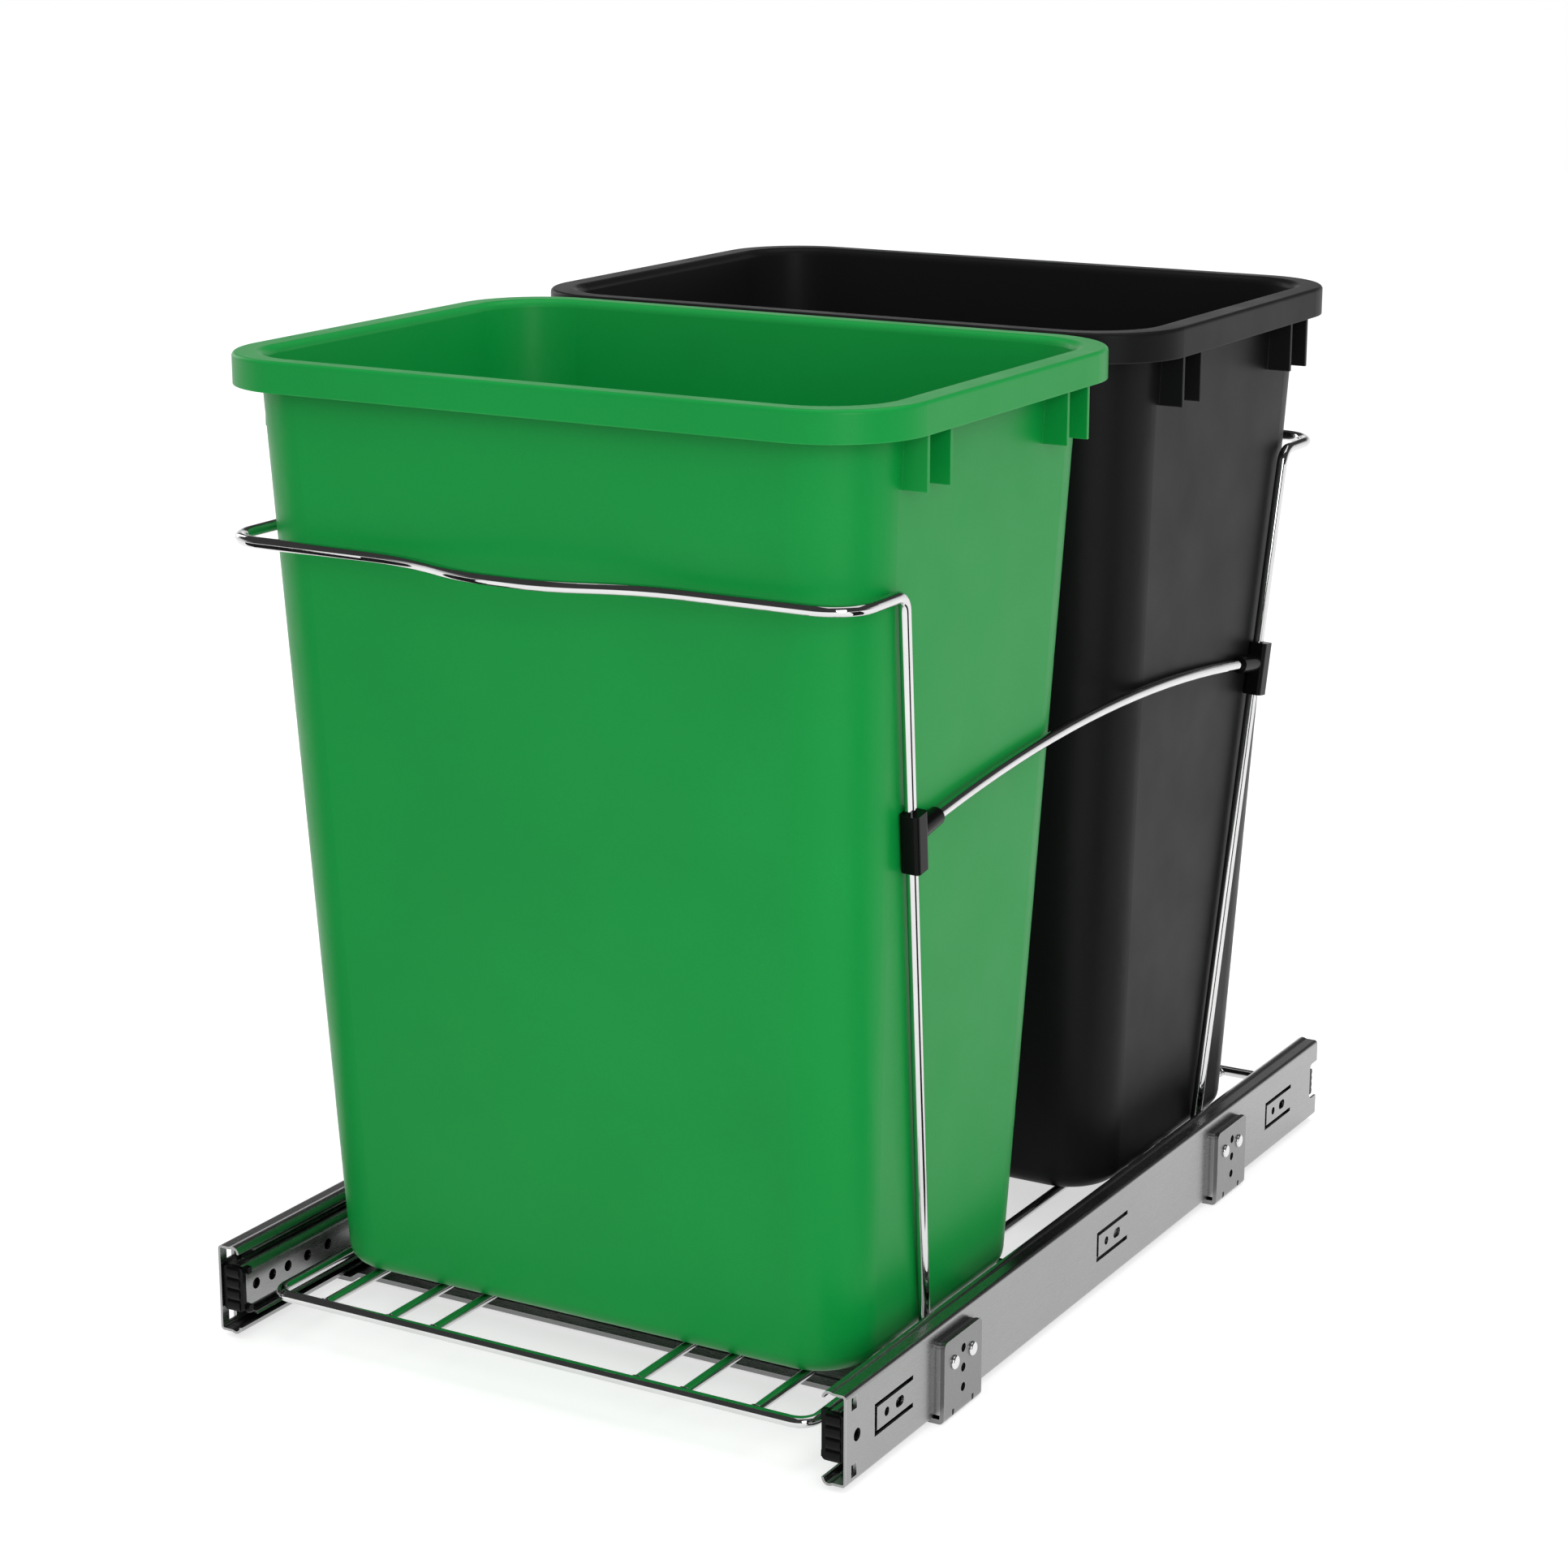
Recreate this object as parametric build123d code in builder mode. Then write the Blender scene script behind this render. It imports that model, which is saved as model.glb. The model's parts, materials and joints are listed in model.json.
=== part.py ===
from build123d import *
import math
import os

# A pull-out frame for two kitchen bins. Two full-extension ball slides stand on two cross-bars,
# and a wire basket between them carries the bins. X is across, the pull end faces -Y, Z is up.
# The origin is on the cabinet floor, half way between the slides and half way along them.
# All sizes are in millimetres.

# Whole unit
slide_length = 560.0
slide_height = 45.0
slide_depth = 12.7
width_over_slides = 355.0
overrun = 5.0

# Slide members: sheet thickness, balls and races
rail_gauge = 1.2
middle_gauge = 1.0
ball_diameter = 4.76
ball_clearance = 0.07
race_bulge = 0.6
race_blend_radius = 2.0
web_gap = 0.8
web_corner_radius = 2.0
groove_half_angle = 15.0
middle_lip_angle = 40.0

# Slide members: lengths
drawer_front_setback = 4.0
drawer_rear_setback = 10.0
middle_front_setback = 15.0
middle_rear_setback = 18.0

# Ball cages
cage_gauge = 0.4
cage_length = 230.0
cage_bend_radius = 0.8
outer_cage_web_gap = 0.2
inner_cage_web_gap = 0.25
outer_cage_lip_gap = 0.3
inner_cage_margin = 0.3
ball_pitch = 50.0
ball_count = 5

# Cabinet rail: pressed windows, tongues, holes and rear notch
window_length = 5.0
window_height = 6.25
window_setback = 5.0
window_offset = 16.4
stop_thickness = 1.0
stop_clearance = 0.15
end_hole_diameter = 6.4
end_hole_setback = 10.3
tongue_length = 36.0
tongue_height = 13.8
tongue_slot = 2.4
tongue_hole_diameter = 4.5
tongue_hole_setback = 10.5
tongue_oblong_length = 8.0
tongue_oblong_height = 5.0
tongue_oblong_setback = 23.0
front_tongue_setback = 28.0
middle_tongue_lead = 16.0
rear_tongue_setback = 75.0
notch_height = 21.0
notch_radius = 3.0

# Hole in the middle rail, counted from its front end
middle_hole_diameter = 5.0
middle_hole_setback = 23.6

# Drawer rail holes, counted from each end
drawer_hole_diameter = 5.8
drawer_hole_starts = (9.0, 22.0, 34.6, 50.6, 67.6)

# Front plug on the drawer rail and rear bumper in the cabinet rail
plug_face_thickness = 3.2
plug_height = 23.2
plug_inner_reach = 0.8
plug_web_clearance = 0.3
plug_corner_radius = 2.2
plug_lobe_count = 4
plug_lobe_height = 0.7
plug_insert_length = 9.5
plug_insert_height = 15.0
plug_insert_gap = 0.2
plug_insert_back = 3.0
plug_ear_length = 3.0
plug_ear_height = 3.2
plug_ear_clearance = 0.1
bumper_depth = 10.0
bumper_thickness = 2.4
bumper_gap = 0.3
bumper_side_clearance = 0.2
bumper_flange_margin = 2.0

# Cross-bars with their tabs, spacers and rivets
bar_gauge = 2.4
bar_width = 38.4
bar_seat_clearance = 0.1
front_cross_bar_setback = 105.6
rear_cross_bar_setback = 134.4
bar_raise = 3.5
joggle_clearance = 2.8
joggle_run = 5.0
joggle_radius = 3.0
tab_height = 41.0
tab_bend_radius = 3.0
tab_corner_radius = 3.0
spacer_gauge = 2.3
spacer_foot = 4.6
spacer_top_drop = 0.5
tab_hole_diameter = 4.5
tab_hole_pitch = 10.0
tab_hole_bottom = 12.4
floor_slot_spacing = 259.0
floor_slot_length = 17.0
floor_slot_width = 4.5
rib_groove_spacing = 20.1
rib_groove_width = 2.2
rib_groove_depth = 0.7
rib_groove_height = 5.0
rivet_spacing = 18.2
rivet_rise = 2.9
rivet_diameter = 4.0
rivet_head_diameter = 7.0
rivet_head_height = 1.4
rivet_head_fillet = 1.1
rivet_clearance = 0.05
rivet_short = 0.1

# Wire basket
main_wire = 5.7
light_wire = 5.0
weld_gap = 0.05
base_drop = 1.8
base_side_gap = 12.8
base_end_gap = 11.0
base_corner_radius = 9.5
inner_lengthwise_inset = 94.0
middle_lengthwise_inset = 68.0
outer_lengthwise_inset = 29.5
front_crosswise_inset = 105.0
second_crosswise_inset = 225.3
third_crosswise_inset = 152.6
rear_crosswise_inset = 112.0

# Hoops and their grab bow
hoop_rise = 376.8
hoop_side_lean = 17.0
hoop_corner_radius = 19.4
hoop_shoulder_radius = 8.5
hoop_foot_share = 0.5
front_hoop_inset = 5.6
front_hoop_arm = 48.0
front_leg_lean = 59.3
rear_hoop_inset = 6.0
rear_hoop_arm = 46.5
rear_leg_lean = 53.5
bow_reach = 16.1
bow_half_width = 66.0
bow_flat_half_width = 22.0
bow_outer_radius = 90.0
bow_inner_radius = 120.0

# Side arches and the connectors that hold them
connector_height = 262.6
arch_rise = 15.5
arch_straight = 26.0
connector_length = 28.5
connector_below = 17.2
connector_width = 10.7
connector_inner = 3.6
connector_outer = 6.4
connector_corner_radius = 2.2
boss_length = 24.0
boss_root_diameter = 11.0
boss_tip_diameter = 9.0
socket_start = 6.0
wire_clearance = 0.05

# Brackets between the basket and the drawer rails
bracket_gauge = 2.0
bracket_width = 24.0
front_bracket_gap = 46.3
rear_bracket_gap = 26.4
bracket_inner_reach = 4.0
bracket_height = 14.0
bracket_bend_radius = 2.0
bracket_gap = 0.05
bracket_screw_diameter = 4.0
bracket_screw_length = 6.0
bracket_screw_head_diameter = 7.6
bracket_screw_head_height = 2.2
bracket_screw_head_fillet = 1.0

# Bins
bin_rise_over_hoops = 86.65
bin_wall = 2.2
bin_floor_thickness = 2.6
bin_seat_clearance = 0.3
bin_gap = 4.95
bin_top_radius = 36.5
bin_floor_inset = 3.4
bin_end_taper = 29.1
bin_floor_radius = 30.0
bin_floor_shift = -3.0
bin_floor_fillet = 10.0
rim_side_reach = 12.75
rim_front_reach = 3.3
rim_rear_reach = 6.45
rim_side_overhang = 13.15
rim_end_overhang = 10.7
rim_radius = 46.5
rim_height = 14.9
rim_wall = 2.2
rim_fillet = 2.0
rim_inner_fillet = 4.0
rib_thickness = 2.1
rib_drop = 25.6
rib_pair_places = (58.8, 80.2)

# Places that follow from the sizes above
rail_half_width = width_over_slides / 2
slide_z = bar_gauge + bar_seat_clearance + race_bulge + slide_height / 2
slide_front = -slide_length / 2
slide_rear = slide_length / 2
tongue_fronts = (
    slide_front + front_tongue_setback,
    -middle_tongue_lead,
    slide_rear - rear_tongue_setback,
)
bar_places = (slide_front + front_cross_bar_setback, slide_rear - rear_cross_bar_setback)
base_z = slide_z - base_drop
base_half_width = rail_half_width - slide_depth - base_side_gap
base_half_length = slide_length / 2 - base_end_gap
crosswise_places = (
    front_crosswise_inset - base_half_length,
    second_crosswise_inset - base_half_length,
    base_half_length - third_crosswise_inset,
    base_half_length - rear_crosswise_inset,
)
bracket_places = (crosswise_places[1] - front_bracket_gap, crosswise_places[2] - rear_bracket_gap)
main_radius = main_wire / 2
light_radius = light_wire / 2
lengthwise_z = base_z - main_radius + light_radius
crosswise_z = base_z - main_radius - weld_gap - light_radius
joggle_start = rail_half_width - slide_depth - joggle_clearance - joggle_run
tab_inner_x = rail_half_width + spacer_gauge
tab_outer_x = tab_inner_x + bar_gauge

# Slide section, measured inwards from the cabinet rail's web and up from mid height
ball_radius = ball_diameter / 2
race_radius = ball_radius + ball_clearance
rail_race = race_radius + rail_gauge / 2
middle_race = race_radius + middle_gauge / 2
outer_ball_depth = slide_depth - race_radius - rail_gauge
outer_ball_height = slide_height / 2 + race_bulge - race_radius - rail_gauge
middle_web_depth = rail_gauge + web_gap + middle_gauge / 2
inner_ball_depth = middle_web_depth + middle_race
ball_lean = math.acos((outer_ball_depth - inner_ball_depth) / (2 * middle_race))
inner_ball_height = outer_ball_height - 2 * middle_race * math.sin(ball_lean)


def section_plane(y):
    """The slide's section at y: local x runs inwards from the right cabinet rail's web, local y up."""
    return Plane(origin=(rail_half_width, y, slide_z), x_dir=(-1, 0, 0), z_dir=(0, 1, 0))


def web_plane(depth):
    """A plane facing the right-hand cabinet wall, this deep inside the slide: local x runs back."""
    return Plane(origin=(rail_half_width - depth, 0, slide_z), x_dir=(0, 1, 0), z_dir=(1, 0, 0))


def mirrored(piece):
    """The same piece on the left of the unit."""
    with BuildPart() as other:
        mirror(piece.part, about=Plane.YZ)
    return other


def keep(piece, name):
    """Label a finished piece and write it as its own STEP file."""
    piece.part.label = name
    export_step(piece.part, f"parts/{name}.step")


def keep_pair(right_piece, name):
    """Write a right-hand piece and its mirror image."""
    keep(right_piece, f"right_{name}")
    keep(mirrored(right_piece), f"left_{name}")


os.makedirs("parts", exist_ok=True)

# Cabinet rail: a C of sheet whose flanges bulge over the outer balls
flange_height = slide_height / 2 - rail_gauge / 2
corner_centre = web_corner_radius - rail_gauge / 2
blend_rise = flange_height + race_blend_radius - outer_ball_height
blend_run = math.sqrt((rail_race + race_blend_radius) ** 2 - blend_rise**2)
blend_angle = math.degrees(math.atan2(blend_run, blend_rise))
blend_start = outer_ball_depth - blend_run

with BuildPart() as cabinet_rail:
    with BuildSketch(section_plane(slide_front)):
        with BuildLine():
            Line((rail_gauge / 2, 0), (rail_gauge / 2, flange_height - corner_centre))
            CenterArc((web_corner_radius, flange_height - corner_centre), corner_centre, 90, 90)
            Line((web_corner_radius, flange_height), (blend_start, flange_height))
            CenterArc((blend_start, flange_height + race_blend_radius), race_blend_radius, 270, blend_angle)
            CenterArc((outer_ball_depth, outer_ball_height), rail_race, 0, 90 + blend_angle)
        trace(line_width=rail_gauge)
        mirror(about=Plane.XZ)
    extrude(amount=slide_length)
    # End windows, lanced tongues, screw holes and the notch that holds the rear bumper
    window_y = slide_front + window_setback + window_length / 2
    with BuildSketch(web_plane(0)):
        with Locations((window_y, window_offset), (window_y, -window_offset)):
            Rectangle(window_length, window_height)
        with Locations((slide_front + end_hole_setback, 0)):
            Circle(end_hole_diameter / 2)
        with Locations((slide_rear, 0)):
            RectangleRounded(2 * drawer_rear_setback, notch_height, notch_radius)
        for tongue_front in tongue_fronts:
            tongue_rear = tongue_front + tongue_length
            with BuildLine():
                Polyline(
                    (tongue_rear, tongue_height / 2),
                    (tongue_front, tongue_height / 2),
                    (tongue_front, -tongue_height / 2),
                    (tongue_rear, -tongue_height / 2),
                )
            trace(line_width=tongue_slot)
            with Locations((tongue_front + tongue_hole_setback, 0)):
                Circle(tongue_hole_diameter / 2)
            with Locations((tongue_front + tongue_oblong_setback, 0)):
                SlotOverall(tongue_oblong_length, tongue_oblong_height)
        for place in bar_places:
            for side in (-1, 1):
                with Locations((place + side * rivet_spacing / 2, rivet_rise)):
                    Circle(rivet_diameter / 2 + rivet_clearance)
    extrude(amount=-rail_gauge - web_gap, mode=Mode.SUBTRACT)
    # Stops bent in at the rear edges of the end windows
    stop_y = slide_front + window_setback + window_length + stop_thickness / 2
    with BuildSketch(web_plane(rail_gauge)):
        with Locations((stop_y, window_offset), (stop_y, -window_offset)):
            Rectangle(stop_thickness, window_height)
    extrude(amount=stop_clearance - web_gap)
keep_pair(cabinet_rail, "cabinet_rail")

# Middle rail: its corners wrap the inner balls and its lips cradle the outer ones
middle_front = slide_front + middle_front_setback
middle_length = slide_length - middle_front_setback - middle_rear_setback
lean_degrees = math.degrees(ball_lean)

with BuildPart() as middle_rail:
    with BuildSketch(section_plane(middle_front)):
        with BuildLine():
            Line((middle_web_depth, 0), (middle_web_depth, inner_ball_height))
            CenterArc((inner_ball_depth, inner_ball_height), middle_race, lean_degrees, 180 - lean_degrees)
            CenterArc(
                (outer_ball_depth, outer_ball_height),
                middle_race,
                180 + lean_degrees,
                180 - middle_lip_angle - lean_degrees,
            )
        trace(line_width=middle_gauge)
        mirror(about=Plane.XZ)
    extrude(amount=middle_length)
    with BuildSketch(web_plane(middle_web_depth - middle_gauge)):
        with Locations((middle_front + middle_hole_setback, 0)):
            Circle(middle_hole_diameter / 2)
    extrude(amount=-2 * middle_gauge, mode=Mode.SUBTRACT)
keep_pair(middle_rail, "middle_rail")

# Drawer rail: a channel whose web carries the basket and whose edges are grooved for the inner balls
drawer_front = slide_front + drawer_front_setback
drawer_rear = slide_rear - drawer_rear_setback
drawer_web_depth = slide_depth - rail_gauge / 2
groove_sine = math.sin(math.radians(groove_half_angle))
groove_cosine = math.cos(math.radians(groove_half_angle))
drawer_corner = (drawer_web_depth - inner_ball_depth - rail_race * groove_sine) / (1 + groove_sine)
drawer_corner_depth = drawer_web_depth - drawer_corner
drawer_corner_height = inner_ball_height - (rail_race + drawer_corner) * groove_cosine

with BuildPart() as drawer_rail:
    with BuildSketch(section_plane(drawer_front)):
        with BuildLine():
            Line((drawer_web_depth, 0), (drawer_web_depth, drawer_corner_height))
            CenterArc((drawer_corner_depth, drawer_corner_height), drawer_corner, 0, 90 + groove_half_angle)
            CenterArc(
                (inner_ball_depth, inner_ball_height),
                rail_race,
                270 - groove_half_angle,
                2 * groove_half_angle,
            )
        trace(line_width=rail_gauge)
        mirror(about=Plane.XZ)
    extrude(amount=drawer_rear - drawer_front)
    with BuildSketch(web_plane(slide_depth)):
        for start in drawer_hole_starts:
            with Locations((drawer_front + start, 0), (drawer_rear - start, 0)):
                Circle(drawer_hole_diameter / 2)
        for place in bracket_places:
            with Locations((place, 0)):
                Circle(bracket_screw_diameter / 2 + wire_clearance)
    extrude(amount=2 * rail_gauge, mode=Mode.SUBTRACT)
keep_pair(drawer_rail, "drawer_rail")

# Ball cages, half way along the slide, where they stay between the rails over the whole travel
ball_places = [(number - (ball_count - 1) / 2) * ball_pitch for number in range(ball_count)]


def ball_cage(web_depth, strip_depth, ball_depth, ball_height):
    """A sheet channel whose two edge strips have a round pocket for each ball."""
    with BuildPart() as cage:
        with BuildSketch(section_plane(-cage_length / 2)):
            with BuildLine():
                FilletPolyline(
                    (web_depth, 0),
                    (web_depth, ball_height),
                    (strip_depth, ball_height),
                    radius=cage_bend_radius,
                )
            trace(line_width=cage_gauge)
            mirror(about=Plane.XZ)
        extrude(amount=cage_length)
        for side in (-1, 1):
            with BuildSketch(Plane.XY.offset(slide_z + side * ball_height)):
                for place in ball_places:
                    with Locations((rail_half_width - ball_depth, place)):
                        Circle(race_radius)
            extrude(amount=race_radius, both=True, mode=Mode.SUBTRACT)
    return cage


def ball_row(ball_depth, ball_height):
    """The balls that sit in one cage's pockets, above and below."""
    with BuildPart() as balls:
        for side in (-1, 1):
            for place in ball_places:
                with Locations((rail_half_width - ball_depth, place, slide_z + side * ball_height)):
                    Sphere(ball_radius)
    return balls


outer_cage_web = rail_gauge + outer_cage_web_gap + cage_gauge / 2
outer_cage_strip = slide_depth - rail_gauge - outer_cage_lip_gap
inner_cage_web = middle_web_depth + middle_gauge / 2 + inner_cage_web_gap + cage_gauge / 2
inner_cage_strip = inner_ball_depth + race_radius + inner_cage_margin
outer_cage = ball_cage(outer_cage_web, outer_cage_strip, outer_ball_depth, outer_ball_height)
inner_cage = ball_cage(inner_cage_web, inner_cage_strip, inner_ball_depth, inner_ball_height)
keep_pair(outer_cage, "outer_ball_cage")
keep_pair(inner_cage, "inner_ball_cage")
keep_pair(ball_row(outer_ball_depth, outer_ball_height), "outer_balls")
keep_pair(ball_row(inner_ball_depth, inner_ball_height), "inner_balls")

# Front plug: a lobed face over the drawer rail's end, an insert in its channel and ears over its corners
plug_inner_depth = slide_depth + plug_inner_reach
plug_outer_depth = rail_gauge + plug_web_clearance
plug_width = plug_inner_depth - plug_outer_depth
plug_middle_depth = (plug_inner_depth + plug_outer_depth) / 2
plug_front = drawer_front - plug_face_thickness
insert_inner_depth = drawer_web_depth - rail_gauge / 2 - plug_insert_gap
insert_outer_depth = middle_web_depth + plug_insert_back - plug_insert_gap


def lobes(depth, back, crest, height):
    """Shallow bulges side by side over this height, drawn in the web plane at this depth."""
    pitch = height / plug_lobe_count
    with BuildSketch(web_plane(depth)) as bulges:
        for number in range(plug_lobe_count):
            middle = (number - (plug_lobe_count - 1) / 2) * pitch
            with BuildLine():
                ThreePointArc((back, middle - pitch / 2), (crest, middle), (back, middle + pitch / 2))
                Line((back, middle + pitch / 2), (back, middle - pitch / 2))
            make_face()
    return bulges.sketch


with BuildPart() as front_plug:
    plug_back = plug_front + plug_lobe_height
    with BuildSketch(section_plane(plug_back)):
        with Locations((plug_middle_depth, 0)):
            RectangleRounded(plug_width, plug_height, plug_corner_radius)
    extrude(amount=plug_face_thickness - plug_lobe_height)
    extrude(
        lobes(plug_outer_depth + plug_corner_radius, plug_back, plug_front, plug_height),
        amount=2 * plug_corner_radius - plug_width,
    )
    with BuildSketch(section_plane(drawer_front)):
        with Locations(((insert_inner_depth + insert_outer_depth) / 2, 0)):
            Rectangle(insert_inner_depth - insert_outer_depth, plug_insert_height)
    extrude(amount=plug_insert_length)
    ear_height = plug_height / 2 - plug_ear_height / 2
    with BuildSketch(section_plane(drawer_front)):
        with Locations((plug_inner_depth, ear_height), (plug_inner_depth, -ear_height)):
            Rectangle(plug_inner_reach + 2 * rail_gauge, plug_ear_height)
        for side in (-1, 1):
            with Locations((drawer_corner_depth, side * drawer_corner_height)):
                Circle(drawer_corner + rail_gauge / 2 + plug_ear_clearance, mode=Mode.SUBTRACT)
    extrude(amount=plug_ear_length)
keep_pair(front_plug, "front_plug")

# Rear bumper: a lobed pad whose wider back lies behind the notch's edges, where it stops the drawer rail
bumper_front = drawer_rear + bumper_gap
bumper_back = bumper_front + bumper_thickness
bumper_height = notch_height - 2 * notch_radius
bumper_seat_depth = rail_gauge + bumper_side_clearance

with BuildPart() as rear_bumper:
    with BuildSketch(section_plane(bumper_front)):
        with Locations((bumper_depth / 2, 0)):
            Rectangle(bumper_depth, bumper_height)
        with Locations(((bumper_seat_depth + bumper_depth) / 2, 0)):
            Rectangle(bumper_depth - bumper_seat_depth, notch_height + 2 * bumper_flange_margin)
    extrude(amount=bumper_thickness)
    extrude(lobes(0, bumper_back, bumper_back + plug_lobe_height, bumper_height), amount=-bumper_depth)
keep_pair(rear_bumper, "rear_bumper")


# Cross-bar: a strap under both slides, with a tab turned up outside each one
def cross_bar(place):
    """One pressed cross-bar, with its floor slots, tab holes and pressed grooves."""
    with BuildPart() as bar:
        with BuildSketch(Plane.XZ.offset(-place)):
            with BuildLine():
                FilletPolyline(
                    (0, bar_raise + bar_gauge / 2),
                    (joggle_start, bar_raise + bar_gauge / 2),
                    (joggle_start + joggle_run, bar_gauge / 2),
                    (tab_outer_x - bar_gauge / 2, bar_gauge / 2),
                    (tab_outer_x - bar_gauge / 2, tab_height),
                    radius=(joggle_radius, joggle_radius, tab_bend_radius - bar_gauge / 2),
                )
            trace(line_width=bar_gauge)
            mirror(about=Plane.YZ)
        extrude(amount=bar_width / 2, both=True)
        fillet(bar.edges().filter_by(Axis.X).group_by(Axis.Z)[-1], tab_corner_radius)
        # Tab holes run through both tabs at once
        with BuildSketch(Plane.YZ):
            for number in range(3):
                with Locations((place, tab_hole_bottom + number * tab_hole_pitch)):
                    Circle(tab_hole_diameter / 2)
            for side in (-1, 1):
                with Locations((place + side * rivet_spacing / 2, slide_z + rivet_rise)):
                    Circle(rivet_diameter / 2 + rivet_clearance)
        extrude(amount=tab_outer_x + overrun, both=True, mode=Mode.SUBTRACT)
        with BuildSketch(Plane.XY):
            with Locations((-floor_slot_spacing / 2, place), (floor_slot_spacing / 2, place)):
                SlotOverall(floor_slot_length, floor_slot_width)
        extrude(amount=bar_raise + bar_gauge + overrun, mode=Mode.SUBTRACT)
        # Two pressed grooves along the top, and the notches where they run round the bends
        with BuildSketch(Plane.XY.offset(bar_raise + bar_gauge)):
            with Locations((0, place - rib_groove_spacing / 2), (0, place + rib_groove_spacing / 2)):
                Rectangle(2 * (joggle_start - joggle_run), rib_groove_width)
        extrude(amount=-rib_groove_depth, mode=Mode.SUBTRACT)
        for side in (-1, 1):
            with BuildSketch(Plane.YZ.offset(side * tab_outer_x)):
                with Locations(
                    (place - rib_groove_spacing / 2, rib_groove_height / 2),
                    (place + rib_groove_spacing / 2, rib_groove_height / 2),
                ):
                    Rectangle(rib_groove_width, rib_groove_height)
            extrude(amount=-side * rib_groove_depth, mode=Mode.SUBTRACT)
    return bar


def spacer_plate(place):
    """The plate that packs the right-hand tab out from the cabinet rail."""
    spacer_top = tab_height - spacer_top_drop
    with BuildPart() as spacer:
        with BuildSketch(Plane.YZ.offset(rail_half_width)):
            with Locations((place, (spacer_foot + spacer_top) / 2)):
                Rectangle(bar_width, spacer_top - spacer_foot)
            for number in range(3):
                with Locations((place, tab_hole_bottom + number * tab_hole_pitch)):
                    Circle(tab_hole_diameter / 2, mode=Mode.SUBTRACT)
            for side in (-1, 1):
                with Locations((place + side * rivet_spacing / 2, slide_z + rivet_rise)):
                    Circle(rivet_diameter / 2 + rivet_clearance, mode=Mode.SUBTRACT)
        extrude(amount=spacer_gauge)
        fillet(spacer.edges().filter_by(Axis.X).group_by(Axis.Z)[-1], tab_corner_radius)
    return spacer


def tab_rivets(place):
    """The four dome-headed rivets of one cross-bar, two through each tab, spacer and rail web."""
    with BuildPart() as rivets:
        for side in (-1, 1):
            rivet_place = (place + side * rivet_spacing / 2, slide_z + rivet_rise)
            with BuildSketch(Plane.YZ.offset(tab_outer_x)):
                with Locations(rivet_place):
                    Circle(rivet_head_diameter / 2)
            extrude(amount=rivet_head_height)
        fillet(rivets.edges().group_by(Axis.X)[-1], rivet_head_fillet)
        for side in (-1, 1):
            rivet_place = (place + side * rivet_spacing / 2, slide_z + rivet_rise)
            with BuildSketch(Plane.YZ.offset(tab_outer_x)):
                with Locations(rivet_place):
                    Circle(rivet_diameter / 2)
            extrude(amount=-bar_gauge - spacer_gauge - rail_gauge + rivet_short)
        mirror(about=Plane.YZ)
    return rivets


for end, place in zip(("front", "rear"), bar_places):
    keep(cross_bar(place), f"{end}_cross_bar")
    keep_pair(spacer_plate(place), f"{end}_spacer")
    keep(tab_rivets(place), f"{end}_tab_rivets")


# Basket base: a rounded rectangle of main wire with lighter wires welded across it
def wire_along(path, diameter):
    """A round wire swept along a path of lines and arcs."""
    with BuildPart() as wire:
        with BuildSketch(Plane(origin=path @ 0, z_dir=path % 0)):
            Circle(diameter / 2)
        sweep(path=path)
    return wire


with BuildLine() as base_path:
    FilletPolyline(
        (base_half_width, -base_half_length, base_z),
        (base_half_width, base_half_length, base_z),
        (-base_half_width, base_half_length, base_z),
        (-base_half_width, -base_half_length, base_z),
        radius=base_corner_radius,
        close=True,
    )
base_loop = wire_along(base_path.wire(), main_wire)
keep(base_loop, "base_loop")

lengthwise_places = (
    base_half_width - inner_lengthwise_inset,
    base_half_width - middle_lengthwise_inset,
    base_half_width - outer_lengthwise_inset,
)
for number, place in enumerate(lengthwise_places, start=1):
    with BuildPart() as lengthwise_wire:
        with BuildSketch(Plane.XZ):
            with Locations((place, lengthwise_z)):
                Circle(light_radius)
        extrude(amount=base_half_length, both=True)
        add(base_loop.part, mode=Mode.SUBTRACT)
    keep_pair(lengthwise_wire, f"lengthwise_wire_{number}")

for number, place in enumerate(crosswise_places, start=1):
    with BuildPart() as crosswise_wire:
        with BuildSketch(Plane.YZ):
            with Locations((place, crosswise_z)):
                Circle(light_radius)
        extrude(amount=base_half_width, both=True)
    keep(crosswise_wire, f"crosswise_wire_{number}")

# Hoops: each stands on the base's side wires, leans outwards and runs round one end of the unit
hoop_top = base_z + hoop_rise
hoop_half_width = base_half_width + hoop_side_lean
front_bar = front_hoop_inset - base_half_length
front_shoulder = front_bar + front_hoop_arm
front_foot = front_shoulder + front_leg_lean
rear_bar = base_half_length - rear_hoop_inset
rear_shoulder = rear_bar - rear_hoop_arm
rear_foot = rear_shoulder - rear_leg_lean
foot_z = base_z + main_radius * hoop_foot_share


def hoop(path):
    """One hoop, its feet coped to the base's side wires."""
    with BuildPart() as wire:
        with BuildSketch(Plane(origin=path @ 0, z_dir=path % 0)):
            Circle(main_radius)
        sweep(path=path)
        add(base_loop.part, mode=Mode.SUBTRACT)
    return wire


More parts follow.
